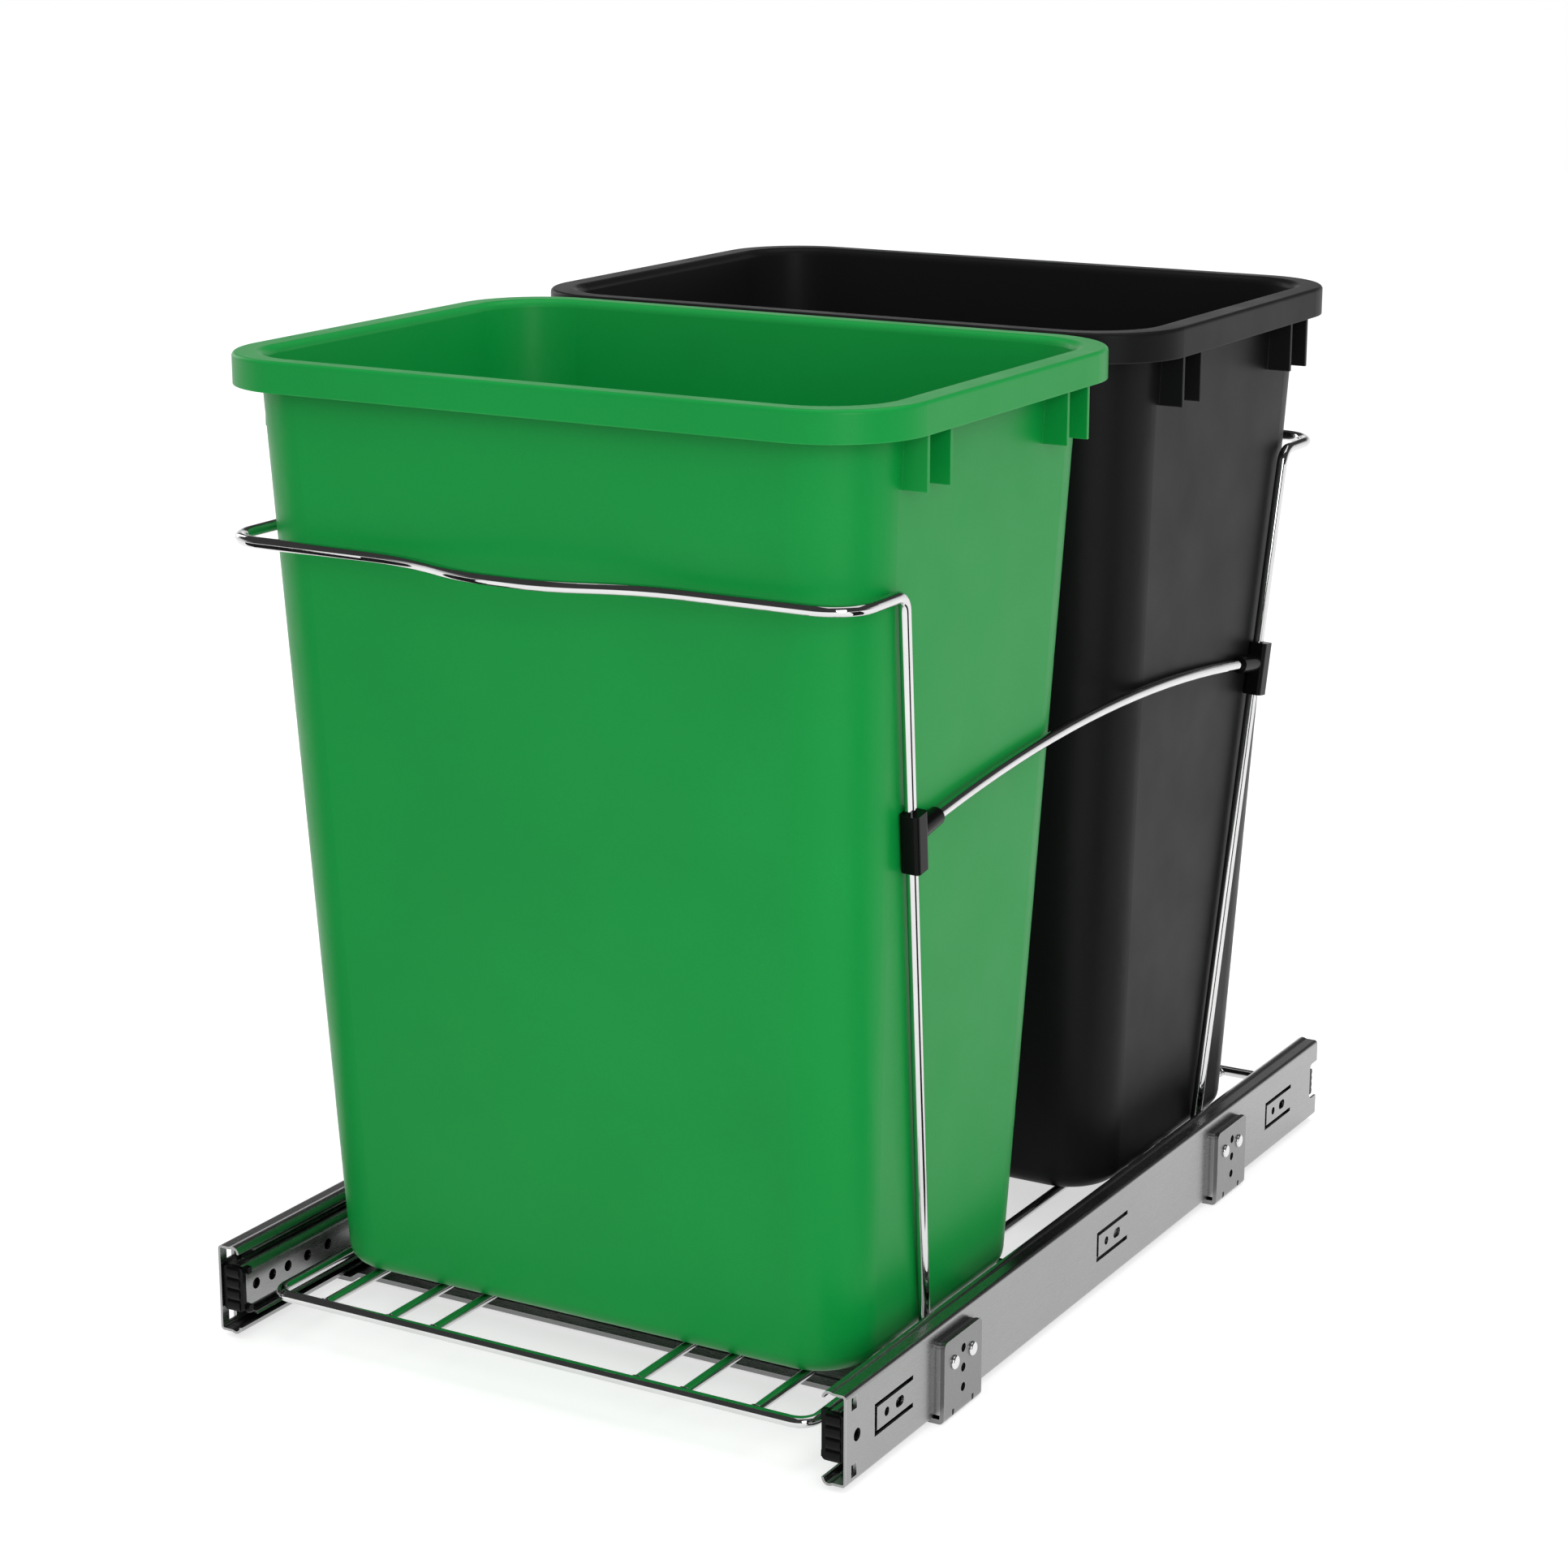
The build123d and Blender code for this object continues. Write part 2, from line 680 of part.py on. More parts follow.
with BuildLine() as front_path:
    bow_y = front_bar - bow_reach
    FilletPolyline(
        (-base_half_width, front_foot, foot_z),
        (-hoop_half_width, front_shoulder, hoop_top),
        (-hoop_half_width, front_bar, hoop_top),
        (-bow_half_width, front_bar, hoop_top),
        (-bow_flat_half_width, bow_y, hoop_top),
        (bow_flat_half_width, bow_y, hoop_top),
        (bow_half_width, front_bar, hoop_top),
        (hoop_half_width, front_bar, hoop_top),
        (hoop_half_width, front_shoulder, hoop_top),
        (base_half_width, front_foot, foot_z),
        radius=(
            hoop_shoulder_radius,
            hoop_corner_radius,
            bow_inner_radius,
            bow_outer_radius,
            bow_outer_radius,
            bow_inner_radius,
            hoop_corner_radius,
            hoop_shoulder_radius,
        ),
    )
front_hoop = hoop(front_path.wire())
keep(front_hoop, "front_hoop")

with BuildLine() as rear_path:
    FilletPolyline(
        (-base_half_width, rear_foot, foot_z),
        (-hoop_half_width, rear_shoulder, hoop_top),
        (-hoop_half_width, rear_bar, hoop_top),
        (hoop_half_width, rear_bar, hoop_top),
        (hoop_half_width, rear_shoulder, hoop_top),
        (base_half_width, rear_foot, foot_z),
        radius=(hoop_shoulder_radius, hoop_corner_radius, hoop_corner_radius, hoop_shoulder_radius),
    )
rear_hoop = hoop(rear_path.wire())
keep(rear_hoop, "rear_hoop")

# Side arches and connectors lie in the leaning plane of the uprights
leg_rise = hoop_top - foot_z
joint_z = base_z + connector_height
side_lean = math.atan2(hoop_half_width - base_half_width, leg_rise)
up_share = (joint_z - foot_z) / leg_rise
front_joint_y = front_foot + (front_shoulder - front_foot) * up_share
rear_joint_y = rear_foot + (rear_shoulder - rear_foot) * up_share
joint_x = base_half_width + (hoop_half_width - base_half_width) * up_share
arch_half = (rear_joint_y - front_joint_y) / 2
arch_middle_y = (rear_joint_y + front_joint_y) / 2
arch_radius = (arch_half**2 + arch_rise**2 - arch_straight**2) / (2 * arch_rise)
arch_slope = math.atan2(arch_half, arch_radius - arch_rise) - math.atan2(arch_straight, arch_radius)
arch_plane = Plane(
    origin=(joint_x, arch_middle_y, joint_z),
    x_dir=(0, 1, 0),
    z_dir=(math.cos(side_lean), 0, -math.sin(side_lean)),
)
socket_run = (socket_start + wire_clearance) * math.cos(arch_slope)
socket_climb = (socket_start + wire_clearance) * math.sin(arch_slope)

with BuildLine(arch_plane) as arch_path:
    FilletPolyline(
        (-arch_half + socket_run, socket_climb),
        (0, arch_half * math.tan(arch_slope)),
        (arch_half - socket_run, socket_climb),
        radius=arch_radius,
    )
side_arch = wire_along(arch_path.wire(), main_wire)
keep_pair(side_arch, "side_arch")


def connector(end, foot_y, shoulder_y):
    """A moulded tee: a sleeve round the upright and a tapered socket for the arch.

    end is -1 on the front uprights and 1 on the rear ones.
    """
    outwards = arch_plane.z_dir
    up = Vector(hoop_half_width - base_half_width, shoulder_y - foot_y, leg_rise).normalized()
    joint = arch_plane.from_local_coords(Vector(end * arch_half, 0, 0))
    along = arch_plane.from_local_coords(
        Vector(end * arch_half - end * math.cos(arch_slope), math.sin(arch_slope), 0)
    )
    boss_plane = Plane(origin=joint, x_dir=outwards, z_dir=along - joint)
    sleeve_plane = Plane(origin=joint - up * connector_below, x_dir=outwards, z_dir=up)
    boss_taper = math.degrees(math.atan2((boss_root_diameter - boss_tip_diameter) / 2, boss_length))
    with BuildPart() as tee:
        with BuildSketch(sleeve_plane):
            with Locations(((connector_outer - connector_inner) / 2, 0)):
                RectangleRounded(
                    connector_outer + connector_inner,
                    connector_width,
                    connector_corner_radius,
                )
        extrude(amount=connector_length)
        with BuildSketch(boss_plane):
            Circle(boss_root_diameter / 2)
        extrude(amount=boss_length, taper=boss_taper)
        # The side towards the bin is flat
        split(bisect_by=Plane(origin=joint - outwards * connector_inner, z_dir=outwards))
        with BuildSketch(sleeve_plane):
            Circle(main_radius + wire_clearance)
        extrude(amount=connector_length, mode=Mode.SUBTRACT)
        with BuildSketch(boss_plane.offset(socket_start)):
            Circle(main_radius + wire_clearance)
        extrude(amount=boss_length, mode=Mode.SUBTRACT)
    return tee


keep_pair(connector(-1, front_foot, front_shoulder), "front_connector")
keep_pair(connector(1, rear_foot, rear_shoulder), "rear_connector")

# Brackets: welded under the base's side wire and screwed to the drawer rail
bracket_top = base_z - main_radius - weld_gap
bracket_outer_x = rail_half_width - slide_depth - bracket_gap
bracket_foot_x = base_half_width - bracket_inner_reach


def bracket(place):
    """A short angle of sheet."""
    with BuildPart() as angle:
        with BuildSketch(Plane.XZ.offset(-place)):
            with BuildLine():
                FilletPolyline(
                    (bracket_foot_x, bracket_top - bracket_gauge / 2),
                    (bracket_outer_x - bracket_gauge / 2, bracket_top - bracket_gauge / 2),
                    (bracket_outer_x - bracket_gauge / 2, bracket_top - bracket_gauge + bracket_height),
                    radius=bracket_bend_radius,
                )
            trace(line_width=bracket_gauge)
        extrude(amount=bracket_width / 2, both=True)
        with BuildSketch(Plane.YZ.offset(bracket_outer_x)):
            with Locations((place, slide_z)):
                Circle(bracket_screw_diameter / 2 + wire_clearance)
        extrude(amount=-2 * bracket_gauge, mode=Mode.SUBTRACT)
    return angle


for end, place in zip(("front", "rear"), bracket_places):
    keep_pair(bracket(place), f"{end}_bracket")

with BuildPart() as bracket_screws:
    screw_x = bracket_outer_x - bracket_gauge
    for place in bracket_places:
        with BuildSketch(Plane.YZ.offset(screw_x)):
            with Locations((place, slide_z)):
                Circle(bracket_screw_head_diameter / 2)
        extrude(amount=-bracket_screw_head_height)
    fillet(bracket_screws.edges().group_by(Axis.X)[0], bracket_screw_head_fillet)
    for place in bracket_places:
        with BuildSketch(Plane.YZ.offset(screw_x)):
            with Locations((place, slide_z)):
                Circle(bracket_screw_diameter / 2)
        extrude(amount=bracket_screw_length)
    mirror(about=Plane.YZ)
keep(bracket_screws, "bracket_screws")

# Bins: tapered tubs with a turned-down rim and pairs of ribs under it on both sides
bin_bottom = lengthwise_z + light_radius + bin_seat_clearance
bin_top = hoop_top + bin_rise_over_hoops
bin_height = bin_top - bin_bottom

# The two bins share the room between the hoops, and their rims reach past the hoops' wires
rim_front = front_bar - rim_front_reach
rim_rear = rear_bar + rim_rear_reach
rim_depth = (rim_rear - rim_front - bin_gap) / 2
rim_width = 2 * (hoop_half_width + rim_side_reach)
bin_top_depth = rim_depth - 2 * rim_end_overhang
bin_top_width = rim_width - 2 * rim_side_overhang
bin_floor_width = 2 * (base_half_width - bin_floor_inset)
bin_floor_depth = bin_top_depth - 2 * bin_end_taper
front_bin_place = rim_front + rim_depth / 2
rear_bin_place = rim_rear - rim_depth / 2


def tub(place, inset, bottom, top):
    """The tapered body between two heights, drawn in by a wall's thickness all round."""
    with BuildPart() as body:
        for height in (bottom, top):
            share = (height - bin_bottom) / bin_height
            width = bin_floor_width + (bin_top_width - bin_floor_width) * share
            depth = bin_floor_depth + (bin_top_depth - bin_floor_depth) * share
            radius = bin_floor_radius + (bin_top_radius - bin_floor_radius) * share
            with BuildSketch(Plane.XY.offset(height)):
                with Locations((0, place + bin_floor_shift * (1 - share))):
                    RectangleRounded(width - 2 * inset, depth - 2 * inset, radius - inset)
        loft()
        fillet(body.edges().group_by(Axis.Z)[0], bin_floor_fillet - inset)
    return body


def bin_tub(place):
    """A whole bin, its rim centred on this place."""
    body = tub(place, 0.0, bin_bottom, bin_top)
    cavity = tub(place, bin_wall, bin_bottom + bin_floor_thickness, bin_top)
    with BuildPart() as whole_bin:
        with BuildSketch(Plane.XY.offset(bin_top - rim_height)):
            with Locations((0, place)):
                RectangleRounded(rim_width, rim_depth, rim_radius)
        extrude(amount=rim_height)
        fillet(whole_bin.edges().group_by(Axis.Z)[-1], rim_fillet)
        with BuildSketch(Plane.XY.offset(bin_top - rim_height)):
            with Locations((0, place)):
                RectangleRounded(rim_width - 2 * rim_wall, rim_depth - 2 * rim_wall, rim_radius - rim_wall)
        extrude(amount=rim_height - rim_wall, mode=Mode.SUBTRACT)
        # Ribs reach from the wall to the inside of the rim's skirt
        rib_outer = rim_width / 2 - rim_wall
        with BuildSketch(Plane.XY.offset(bin_top - rim_height - rib_drop)):
            for rib_place in rib_pair_places:
                for side in (-1, 1):
                    with Locations((0, place + side * rib_place)):
                        Rectangle(2 * rib_outer, rib_thickness)
        extrude(amount=rib_drop + rim_height - rim_wall)
        add(body.part)
        add(cavity.part, mode=Mode.SUBTRACT)
        top_face = whole_bin.faces().sort_by(Axis.Z)[-1]
        fillet(top_face.inner_wires()[0].edges(), rim_inner_fillet)
    return whole_bin


keep(bin_tub(front_bin_place), "front_bin")
keep(bin_tub(rear_bin_place), "rear_bin")
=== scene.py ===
"""Looks, light and camera for the pull out bin frame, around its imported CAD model."""

import json
import math

import bmesh
import bpy
from mathutils import Matrix, Vector


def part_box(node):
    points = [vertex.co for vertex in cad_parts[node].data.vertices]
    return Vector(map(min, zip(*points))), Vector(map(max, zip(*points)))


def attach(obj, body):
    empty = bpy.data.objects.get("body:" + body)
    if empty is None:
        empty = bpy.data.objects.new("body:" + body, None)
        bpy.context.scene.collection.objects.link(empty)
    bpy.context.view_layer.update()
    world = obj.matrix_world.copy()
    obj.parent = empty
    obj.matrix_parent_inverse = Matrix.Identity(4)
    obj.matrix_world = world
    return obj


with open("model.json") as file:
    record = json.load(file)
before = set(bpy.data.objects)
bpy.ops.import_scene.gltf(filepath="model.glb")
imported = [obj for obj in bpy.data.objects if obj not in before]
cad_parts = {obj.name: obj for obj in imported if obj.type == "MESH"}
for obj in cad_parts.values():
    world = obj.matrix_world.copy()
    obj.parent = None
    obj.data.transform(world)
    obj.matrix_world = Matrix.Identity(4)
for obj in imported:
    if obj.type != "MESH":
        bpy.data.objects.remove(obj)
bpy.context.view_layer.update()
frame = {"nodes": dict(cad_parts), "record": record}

# Camera, in metres and radians
CAMERA_PLACE = (0.89119, -1.57168, 0.72653)
CAMERA_TILT = math.radians(75)
CAMERA_TURN = math.radians(30)
CAMERA_LENS_MM = 82.37
SENSOR_MM = 36.0
CLIP_NEAR = 0.05
CLIP_FAR = 50


def make_camera():
    data = bpy.data.cameras.new("photo_camera")
    data.sensor_width = SENSOR_MM
    data.lens = CAMERA_LENS_MM
    data.clip_start = CLIP_NEAR
    data.clip_end = CLIP_FAR
    camera = bpy.data.objects.new("photo_camera", data)
    camera.location = CAMERA_PLACE
    camera.rotation_euler = (CAMERA_TILT, 0, CAMERA_TURN)
    bpy.context.scene.collection.objects.link(camera)
    bpy.context.scene.camera = camera


# Colours
def linear(*srgb):
    """An sRGB colour, 0 to 255, as the linear colour that a shader takes."""
    out = []
    for value in srgb:
        c = value / 255
        out.append(c / 12.92 if c <= 0.04045 else ((c + 0.055) / 1.055) ** 2.4)
    return (*out, 1.0)


def grey(level):
    return (level, level, level, 1.0)


def scaled(colour, factor):
    return (*(min(c * factor, 1.0) for c in colour[:3]), 1.0)


# Shader trees
class Nodes:
    """Adds nodes to the tree of a material or a world and joins them."""

    def __init__(self, owner, output):
        owner.use_nodes = True
        self.owner = owner
        self.tree = owner.node_tree
        self.tree.nodes.clear()
        self.output = self.tree.nodes.new(output)

    def add(self, kind, **values):
        """A new node, with its sockets or settings of these names set."""
        node = self.tree.nodes.new(kind)
        for key, value in values.items():
            if key in node.inputs:
                node.inputs[key].default_value = value
            else:
                setattr(node, key, value)
        return node

    def link(self, source, target):
        self.tree.links.new(source, target)

    def feed(self, socket, value):
        """Links a socket into this one, or sets this one to a number or colour."""
        if isinstance(value, (int, float, tuple)):
            socket.default_value = value
        else:
            self.link(value, socket)

    def place(self, stretch=(1, 1, 1)):
        """Coordinates in metres, which move with the piece, stretched along the given axes."""
        coordinates = self.add("ShaderNodeTexCoord")
        mapping = self.add("ShaderNodeMapping", Scale=stretch)
        self.link(coordinates.outputs["Object"], mapping.inputs["Vector"])
        return mapping.outputs["Vector"]

    def noise(self, vector, scale, detail=3.0, roughness=0.55):
        """Noise with this many repeats a metre."""
        node = self.add("ShaderNodeTexNoise", Scale=scale, Detail=detail, Roughness=roughness)
        self.link(vector, node.inputs["Vector"])
        return node.outputs["Fac"]

    def maths(self, operation, first, second):
        node = self.add("ShaderNodeMath", operation=operation)
        self.feed(node.inputs[0], first)
        self.feed(node.inputs[1], second)
        return node.outputs["Value"]

    def remap(self, value, low, high, from_low=0.3, from_high=0.7, shape="LINEAR"):
        """Maps from_low to low and from_high to high. Without them, the span is the one that noise fills."""
        node = self.add("ShaderNodeMapRange", interpolation_type=shape)
        node.inputs["From Min"].default_value = from_low
        node.inputs["From Max"].default_value = from_high
        node.inputs["To Min"].default_value = low
        node.inputs["To Max"].default_value = high
        self.link(value, node.inputs["Value"])
        return node.outputs["Result"]

    def mix(self, factor, first, second):
        """One colour where the factor is 0, the other where it is 1."""
        node = self.add("ShaderNodeMix", data_type="RGBA")
        self.link(factor, node.inputs["Factor"])
        colour_inputs = [socket for socket in node.inputs if socket.type == "RGBA"]
        self.feed(colour_inputs[0], first)
        self.feed(colour_inputs[1], second)
        return next(socket for socket in node.outputs if socket.type == "RGBA")

    def edges(self, radius, low=0.02, high=0.25):
        """1 along the piece's edges and 0 on its faces."""
        bevel = self.add("ShaderNodeBevel", samples=4, Radius=radius)
        geometry = self.add("ShaderNodeNewGeometry")
        dot = self.add("ShaderNodeVectorMath", operation="DOT_PRODUCT")
        self.link(bevel.outputs["Normal"], dot.inputs[0])
        self.link(geometry.outputs["Normal"], dot.inputs[1])
        return self.remap(dot.outputs["Value"], low=1, high=0, from_low=1 - high, from_high=1 - low)

    def gap_shade_mask(self, distance):
        """0 deep in a gap narrower than this distance and 1 in the open: the mask for painted shade in gaps.
        """
        node = self.add("ShaderNodeAmbientOcclusion", samples=6, Distance=distance)
        return self.remap(node.outputs["AO"], low=0, high=1, from_low=0.15, from_high=0.75)

    def bump(self, height, strength, distance):
        node = self.add("ShaderNodeBump", Strength=strength, Distance=distance)
        self.link(height, node.inputs["Height"])
        return node.outputs["Normal"]

    def seen(self):
        """1 where the camera looks straight or through glass, and 0 elsewhere."""
        path = self.add("ShaderNodeLightPath").outputs
        return self.maths("MAXIMUM", path["Is Camera Ray"], path["Is Transmission Ray"])

    def seen_or_mirrored(self):
        """1 where the camera looks, also by way of a mirror, and 0 elsewhere."""
        path = self.add("ShaderNodeLightPath").outputs
        return self.maths("MAXIMUM", self.seen(), path["Is Glossy Ray"])

    def finish(self, shader):
        self.link(shader.outputs[0], self.output.inputs["Surface"])
        return self.owner


def material_nodes(name):
    return Nodes(bpy.data.materials.new(name), "ShaderNodeOutputMaterial")


# Plastic
MOTTLE = 0.04
SPECKLE_SHADE = 0.85
SPECKLE_STRENGTH = 0.25
# Painted edge highlight: its width, and its least and most strength.
PLASTIC_EDGE_HIGHLIGHT_WIDTH = 0.0012
PLASTIC_EDGE_HIGHLIGHT_LEAST = 0.1
PLASTIC_EDGE_HIGHLIGHT_MOST = 0.45
GRAIN_STRENGTH = 0.3
GRAIN_DEPTH = 0.00003


def moulded_plastic(name, colour, roughness, edge_highlight_colour, specular):
    """Satin moulded plastic: a fine spark-eroded grain, slow mottling and a painted highlight along the
    edges, patchy along their length.
    """
    n = material_nodes(name)
    place = n.place()
    shader = n.add("ShaderNodeBsdfPrincipled")
    shader.inputs["Specular IOR Level"].default_value = specular
    slow = n.remap(n.noise(place, scale=9.0), low=0, high=1)
    mottled = n.mix(slow, scaled(colour, 1 - MOTTLE), scaled(colour, 1 + MOTTLE))
    speckle = n.remap(n.noise(place, scale=900.0, detail=2.0), low=0, high=SPECKLE_STRENGTH)
    fine = n.mix(speckle, mottled, scaled(colour, SPECKLE_SHADE))
    # Painted highlight: the plastic is lighter along its edges, stronger in some patches.
    patchy = n.remap(n.noise(place, scale=60.0), low=PLASTIC_EDGE_HIGHLIGHT_LEAST, high=PLASTIC_EDGE_HIGHLIGHT_MOST)
    patchy_edge_highlight = n.maths("MULTIPLY", n.edges(PLASTIC_EDGE_HIGHLIGHT_WIDTH), patchy)
    gloss = n.remap(n.noise(place, scale=25.0), low=roughness - 0.03, high=roughness + 0.04)
    grain = n.bump(n.noise(place, scale=1400.0, detail=2.0), GRAIN_STRENGTH, GRAIN_DEPTH)
    n.link(n.mix(patchy_edge_highlight, fine, edge_highlight_colour), shader.inputs["Base Color"])
    n.link(gloss, shader.inputs["Roughness"])
    n.link(grain, shader.inputs["Normal"])
    return n.finish(shader)


# Chrome
HAZE_SHADE = 0.92
# Painted shade in narrow gaps: how far it reaches, and how dark it is.
CHROME_GAP = 0.003
CHROME_GAP_SHADE = 0.25
PULL_STRENGTH = 0.15
PULL_DEPTH = 0.00002


def chrome(name, tone, roughness):
    """Bright plating over drawn wire: nearly a mirror, with faint haze, pull marks and painted shade in
    narrow gaps.
    """
    n = material_nodes(name)
    place = n.place()
    shader = n.add("ShaderNodeBsdfPrincipled", Metallic=1.0)
    haze = n.remap(n.noise(place, scale=40.0), low=0, high=1)
    clean = n.mix(haze, grey(tone), grey(tone * HAZE_SHADE))
    # Painted shade: the plating is darkened deep in narrow gaps.
    plated = n.mix(n.gap_shade_mask(CHROME_GAP), grey(tone * CHROME_GAP_SHADE), clean)
    gloss = n.remap(n.noise(place, scale=120.0), low=roughness * 0.6, high=roughness * 1.8)
    pulled = n.bump(n.noise(place, scale=260.0, detail=2.0), PULL_STRENGTH, PULL_DEPTH)
    n.link(plated, shader.inputs["Base Color"])
    n.link(gloss, shader.inputs["Roughness"])
    n.link(pulled, shader.inputs["Normal"])
    return n.finish(shader)


# Steel strip: streaks follow the rolling, so they are fine across a piece and long along it
STREAKS_ALONG_Y = (1600, 30, 1600)
STREAKS_ROUND_THE_BAR = (30, 1200, 30)
NO_STREAKS = (300, 300, 300)
CLOUD_SHADE = 0.95
STREAK_SHADE = 0.93
STREAK_STRENGTH = 0.35
# How dark the painted shade in corners and gaps is.
STEEL_GAP_SHADE = 0.2
# Painted highlight along the edges: its width, how much lighter, and the lightest it gets.
STEEL_EDGE_HIGHLIGHT_WIDTH = 0.0005
STEEL_EDGE_HIGHLIGHT_FACTOR = 1.9
BRIGHTEST_STEEL_EDGE_HIGHLIGHT = 0.9
STREAK_BUMP = 0.03
STREAK_DEPTH = 0.000005


def rolled_steel(name, tone, roughness, streaks=STREAKS_ALONG_Y, gap=0.005):
    """Zinc-plated strip: faint streaks, cloudy plating, painted shade in corners and gaps, and painted
    highlights along the edges.
    """
    n = material_nodes(name)
    place = n.place()
    shader = n.add("ShaderNodeBsdfPrincipled", Metallic=1.0)
    lines = n.noise(n.place(streaks), scale=1.0, detail=3.0, roughness=0.5)
    clouds = n.remap(n.noise(place, scale=22.0), low=0, high=1)
    base = n.mix(clouds, grey(tone), grey(tone * CLOUD_SHADE))
    lined = n.mix(n.remap(lines, low=0, high=STREAK_STRENGTH), base, grey(tone * STREAK_SHADE))
    # Painted highlight: the strip is lighter along its edges.
    bright = grey(min(tone * STEEL_EDGE_HIGHLIGHT_FACTOR, BRIGHTEST_STEEL_EDGE_HIGHLIGHT))
    edge_highlighted = n.mix(n.edges(STEEL_EDGE_HIGHLIGHT_WIDTH), lined, bright)
    # Painted shade: the strip is darkened deep in corners and narrow gaps.
    shaded = n.mix(n.gap_shade_mask(gap), grey(tone * STEEL_GAP_SHADE), edge_highlighted)
    gloss = n.remap(lines, low=roughness - 0.015, high=roughness + 0.025)
    n.link(shaded, shader.inputs["Base Color"])
    n.link(gloss, shader.inputs["Roughness"])
    n.link(n.bump(lines, STREAK_BUMP, STREAK_DEPTH), shader.inputs["Normal"])
    return n.finish(shader)


# One material for each slot of the record, and one for the spacers
GREEN = (0.003, 0.302, 0.049, 1.0)
BLACK_BIN = (0.0085, 0.0085, 0.0088, 1.0)
BLACK_FITTING = (0.003, 0.003, 0.0032, 1.0)
# Painted edge highlight colours.
GREEN_EDGE_HIGHLIGHT = linear(90, 190, 115)
BLACK_BIN_EDGE_HIGHLIGHT = linear(90, 90, 92)
BLACK_FITTING_EDGE_HIGHLIGHT = linear(34, 34, 36)
# How far the painted gap shade reaches on closely fitted parts.
TIGHT_GAP = 0.0012

materials = {
    "green_bin": moulded_plastic("green_moulding", GREEN, 0.38, GREEN_EDGE_HIGHLIGHT, specular=0.19),
    "black_bin": moulded_plastic("black_moulding", BLACK_BIN, 0.40, BLACK_BIN_EDGE_HIGHLIGHT, specular=0.10),
    "black_fittings": moulded_plastic(
        "black_fitting_moulding", BLACK_FITTING, 0.24, BLACK_FITTING_EDGE_HIGHLIGHT, specular=0.1
    ),
    "chrome_wire": chrome("chrome_plated_wire", tone=0.7, roughness=0.04),
    "ball_steel": chrome("polished_balls", tone=0.7, roughness=0.08),
    "bracket_steel": chrome("chrome_plated_brackets", tone=0.65, roughness=0.12),
    "slide_steel": rolled_steel("zinc_slide_strip", tone=0.35, roughness=0.26),
    "spacer": rolled_steel("zinc_spacer_strip", tone=0.42, roughness=0.32, gap=TIGHT_GAP),
    "cage_steel": rolled_steel("cage_strip", tone=0.3, roughness=0.3),
    "cross_bar_steel": rolled_steel(
        "zinc_cross_bar", tone=0.25, roughness=0.27, streaks=STREAKS_ROUND_THE_BAR, gap=TIGHT_GAP
    ),
    "rivet_steel": rolled_steel("rivet_heads", tone=0.8, roughness=0.16, streaks=NO_STREAKS),
}


def dress():
    """Every CAD node gets the material of its slot in the record, and the spacers a strip of their own."""
    for part in frame["record"]["subparts"]:
        look = "spacer" if "spacer" in part["node"] else part["material_slot"]
        mesh = frame["nodes"][part["node"]].data
        mesh.materials.clear()
        mesh.materials.append(materials[look])


# Weld beads: half sizes along X, Y and Z, in metres
BUTT_BEAD = (0.0034, 0.0009, 0.0030)
CROSS_BEAD = (0.0026, 0.0026, 0.0008)
FOOT_BEAD = (0.0034, 0.0040, 0.0008)
BEAD_RIPPLE = 0.12
RIPPLES_ALONG = (5, 4, 3)
BEAD_SUBDIVISIONS = 3
LENGTHWISE_WIRES = (1, 2, 3)
CROSSWISE_WIRES = (1, 2, 3, 4)
# Where the front and rear hoops stand on the base's side wires, along Y
HOOP_FEET = (-0.1561, 0.1630)


def weld_spots():
    """The place and half sizes of every bead in the basket."""
    low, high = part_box("base_loop")
    wire = (high.z - low.z) / 2
    side_x = high.x - wire
    butt_y = high.y - 2 * wire
    crossings = []
    for number in CROSSWISE_WIRES:
        start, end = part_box(f"crosswise_wire_{number}")
        crossings.append((start.y + end.y) / 2)
    spots = []
    for side in ("left", "right"):
        for number in LENGTHWISE_WIRES:
            start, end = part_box(f"{side}_lengthwise_wire_{number}")
            x = (start.x + end.x) / 2
            z = (start.z + end.z) / 2
            spots += [((x, way * butt_y, z), BUTT_BEAD) for way in (-1, 1)]
            spots += [((x, y, low.z), CROSS_BEAD) for y in crossings]
    for way in (-1, 1):
        spots += [((way * side_x, y, low.z), CROSS_BEAD) for y in crossings]
        spots += [((way * side_x, y, high.z), FOOT_BEAD) for y in HOOP_FEET]
    return spots


def weld_beads():
    """Small fused beads where the basket's wires cross, butt and stand on each other."""
    along_x, along_y, along_z = RIPPLES_ALONG
    beads = bmesh.new()
    for number, (place, size) in enumerate(weld_spots()):
        made = bmesh.ops.create_icosphere(beads, subdivisions=BEAD_SUBDIVISIONS, radius=1)
        for vertex in made["verts"]:
            x, y, z = vertex.co
            waves = math.sin(along_x * x + number) * math.sin(along_y * y + 2 * number)
            vertex.co *= 1 + BEAD_RIPPLE * waves * math.cos(along_z * z)
        matrix = Matrix.Translation(place) @ Matrix.Diagonal((*size, 1))
        bmesh.ops.transform(beads, matrix=matrix, verts=made["verts"])
    mesh = bpy.data.meshes.new("weld_beads")
    beads.to_mesh(mesh)
    beads.free()
    mesh.shade_smooth()
    mesh.materials.append(materials["chrome_wire"])
    piece = bpy.data.objects.new("weld_beads", mesh)
    bpy.context.scene.collection.objects.link(piece)
    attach(piece, "carriage")


